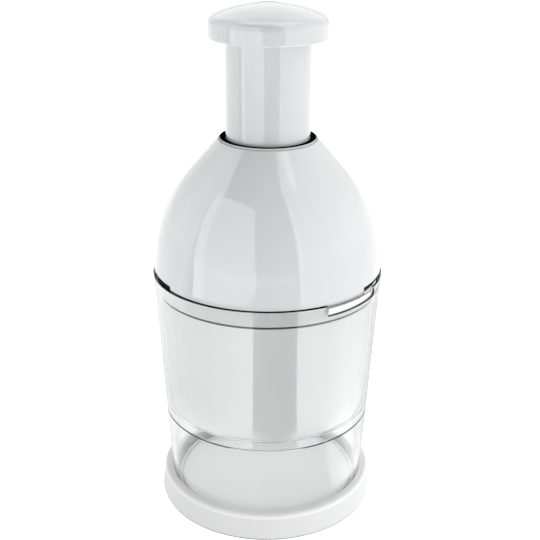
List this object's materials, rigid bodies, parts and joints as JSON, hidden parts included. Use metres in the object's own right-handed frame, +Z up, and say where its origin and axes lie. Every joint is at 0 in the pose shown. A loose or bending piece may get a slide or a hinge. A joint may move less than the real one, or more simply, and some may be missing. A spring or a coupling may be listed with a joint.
{
  "type": "vegetable chopper",
  "caption": "Push-down vegetable chopper: a sprung plunger with a mushroom knob drives zig-zag blades through a wiper plate in a clear hopper over a clear cup and a white base.",
  "frame": {"origin": "on the table, under the middle of the foot ring", "axes": "+Z up along the plunger's axis, -Y to the front, +X to the right seen from the front"},
  "size_m": [0.101, 0.101, 0.225],
  "materials": {
    "white_plastic": "glossy moulded",
    "clear_plastic": "clear and polished",
    "frosted_plastic": "satin moulded",
    "dark_plastic": "matte moulded",
    "bearing_plastic": "smooth moulded",
    "mat_plastic": "soft and matte",
    "black_rubber": "matte",
    "blade_steel": "brushed with a ground edge",
    "rod_steel": "turned",
    "spring_steel": "drawn wire",
    "screw_steel": "plated"
  },
  "bodies": {
    "base": {"base_cup": "white_plastic", "cutting_mat": "mat_plastic", "foot_ring": "black_rubber", "lower_cup": "clear_plastic"},
    "hopper": {"hopper": "clear_plastic"},
    "dome": {"dome_shell": "white_plastic", "lid_seal": "black_rubber", "neck_bush": "dark_plastic", "bridge_plate": "frosted_plastic", "bridge_screws": "screw_steel", "index_ring": "bearing_plastic", "wiper_ring": "frosted_plastic", "spring_washer": "rod_steel", "return_spring": "spring_steel"},
    "plunger": {"knob": "white_plastic", "knob_plug": "white_plastic", "knob_screw": "screw_steel", "plunger_tube": "white_plastic", "spindle": "rod_steel", "drive_crown": "bearing_plastic", "spring_cap": "rod_steel", "thrust_washer": "rod_steel", "spindle_clip": "rod_steel"},
    "blade": {"blade_holder": "frosted_plastic", "index_crown": "bearing_plastic", "crown_screws": "screw_steel", "blade_centre": "blade_steel", "blade_front": "blade_steel", "blade_back": "blade_steel"},
    "wiper": {"wiper_sleeve": "frosted_plastic", "wiper_plate": "frosted_plastic"}
  },
  "joints": [
    {"name": "body_lift", "type": "slide", "parent": "base", "child": "hopper", "axis": [0, 0, 1], "range_m": [0, 0.12]},
    {"name": "dome_twist", "type": "hinge", "parent": "hopper", "child": "dome", "pos_m": [0, 0, 0.1102], "axis": [0, 0, 1], "range_deg": [0, 24.8]},
    {"name": "plunger_press", "type": "slide", "parent": "dome", "child": "plunger", "axis": [0, 0, -1], "range_m": [0, 0.0404], "stiffness_N_per_m": 400, "springref_m": -0.03, "deforming": ["return_spring"]},
    {"name": "blade_turn", "type": "hinge", "parent": "plunger", "child": "blade", "pos_m": [0, 0, 0.0952], "axis": [0, 0, 1], "continuous": true},
    {"name": "wiper_turn", "type": "hinge", "parent": "dome", "child": "wiper", "pos_m": [0, 0, 0.1012], "axis": [0, 0, 1], "continuous": true}
  ],
  "couplings": [
    {"joint": "wiper_turn", "follows": "blade_turn", "ratio": 1}
  ]
}
